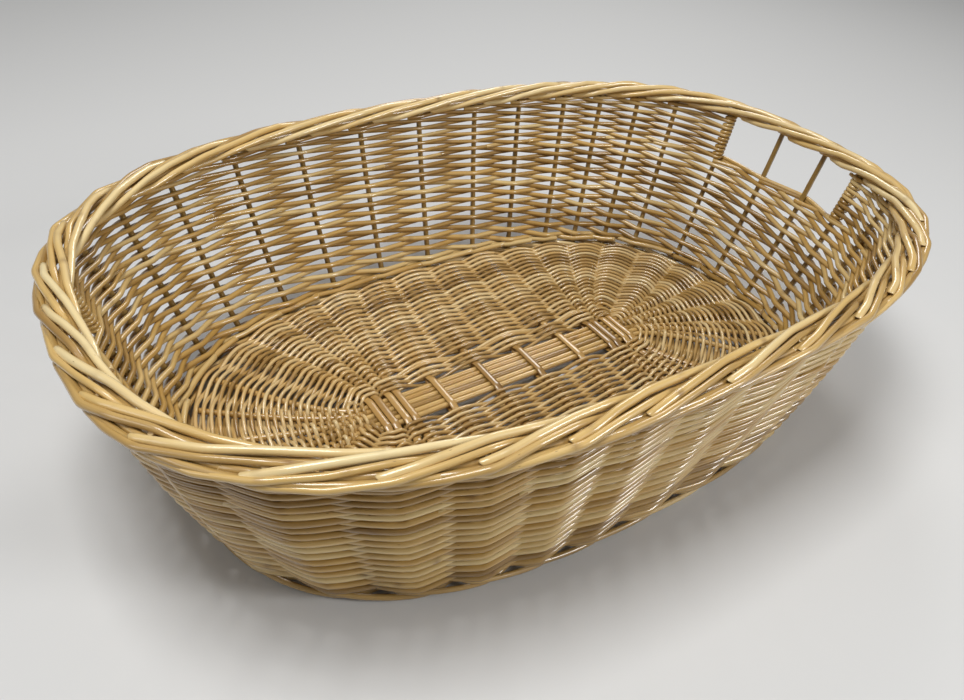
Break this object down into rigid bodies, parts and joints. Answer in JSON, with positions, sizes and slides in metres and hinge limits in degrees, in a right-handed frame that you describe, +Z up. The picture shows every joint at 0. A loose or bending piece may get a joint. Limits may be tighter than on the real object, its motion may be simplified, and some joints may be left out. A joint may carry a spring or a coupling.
{
  "type": "wicker pet bed",
  "caption": "Low oval bed for a small dog or cat, woven from varnished willow rods, open at the top, with a rolled border and a handle hole at each end.",
  "frame": {"origin": "centre of the oval bed, on the ground it stands on", "axes": "+X along the length towards the end that the picture shows at the back right, +Y across the width towards the back, +Z up"},
  "size_m": [0.7072, 0.4759, 0.183],
  "materials": {
    "willow_stakes": "varnished buff willow, satin",
    "willow_side_rods": "varnished buff willow, satin",
    "willow_border_rods": "varnished buff willow, satin, pale cut ends",
    "willow_foot_rods": "varnished buff willow, satin",
    "willow_base_sticks": "varnished buff willow, satin",
    "willow_long_rods": "varnished buff willow, satin",
    "willow_base_rods": "varnished buff willow, satin"
  },
  "bodies": {
    "root": {"base_long_rod_1": "willow_long_rods", "base_long_rod_2": "willow_long_rods", "base_long_rod_3": "willow_long_rods", "base_long_rod_4": "willow_long_rods", "base_long_rod_5": "willow_long_rods", "base_long_rod_6": "willow_long_rods", "base_cross_stick_01": "willow_base_sticks", "base_cross_stick_02": "willow_base_sticks", "base_cross_stick_03": "willow_base_sticks", "base_cross_stick_04": "willow_base_sticks", "base_cross_stick_05": "willow_base_sticks", "base_cross_stick_06": "willow_base_sticks", "base_cross_stick_07": "willow_base_sticks", "base_cross_stick_08": "willow_base_sticks", "base_cross_stick_09": "willow_base_sticks", "base_cross_stick_10": "willow_base_sticks", "base_cross_stick_11": "willow_base_sticks", "base_cross_stick_12": "willow_base_sticks", "base_weave": "willow_base_rods", "foot_wale": "willow_foot_rods", "stake_01": "willow_stakes", "stake_02": "willow_stakes", "stake_03": "willow_stakes", "stake_04": "willow_stakes", "stake_05": "willow_stakes", "stake_06": "willow_stakes", "stake_07": "willow_stakes", "stake_08": "willow_stakes", "stake_09": "willow_stakes", "stake_10": "willow_stakes", "stake_11": "willow_stakes", "stake_12": "willow_stakes", "stake_13": "willow_stakes", "stake_14": "willow_stakes", "stake_15": "willow_stakes", "stake_16": "willow_stakes", "stake_17": "willow_stakes", "stake_18": "willow_stakes", "stake_19": "willow_stakes", "stake_20": "willow_stakes", "stake_21": "willow_stakes", "stake_22": "willow_stakes", "stake_23": "willow_stakes", "stake_24": "willow_stakes", "stake_25": "willow_stakes", "stake_26": "willow_stakes", "stake_27": "willow_stakes", "stake_28": "willow_stakes", "stake_29": "willow_stakes", "stake_30": "willow_stakes", "stake_31": "willow_stakes", "stake_32": "willow_stakes", "stake_33": "willow_stakes", "stake_34": "willow_stakes", "stake_35": "willow_stakes", "side_weave_lower": "willow_side_rods", "side_weave_back": "willow_side_rods", "side_weave_front": "willow_side_rods", "border": "willow_border_rods"}
  },
  "joints": []
}
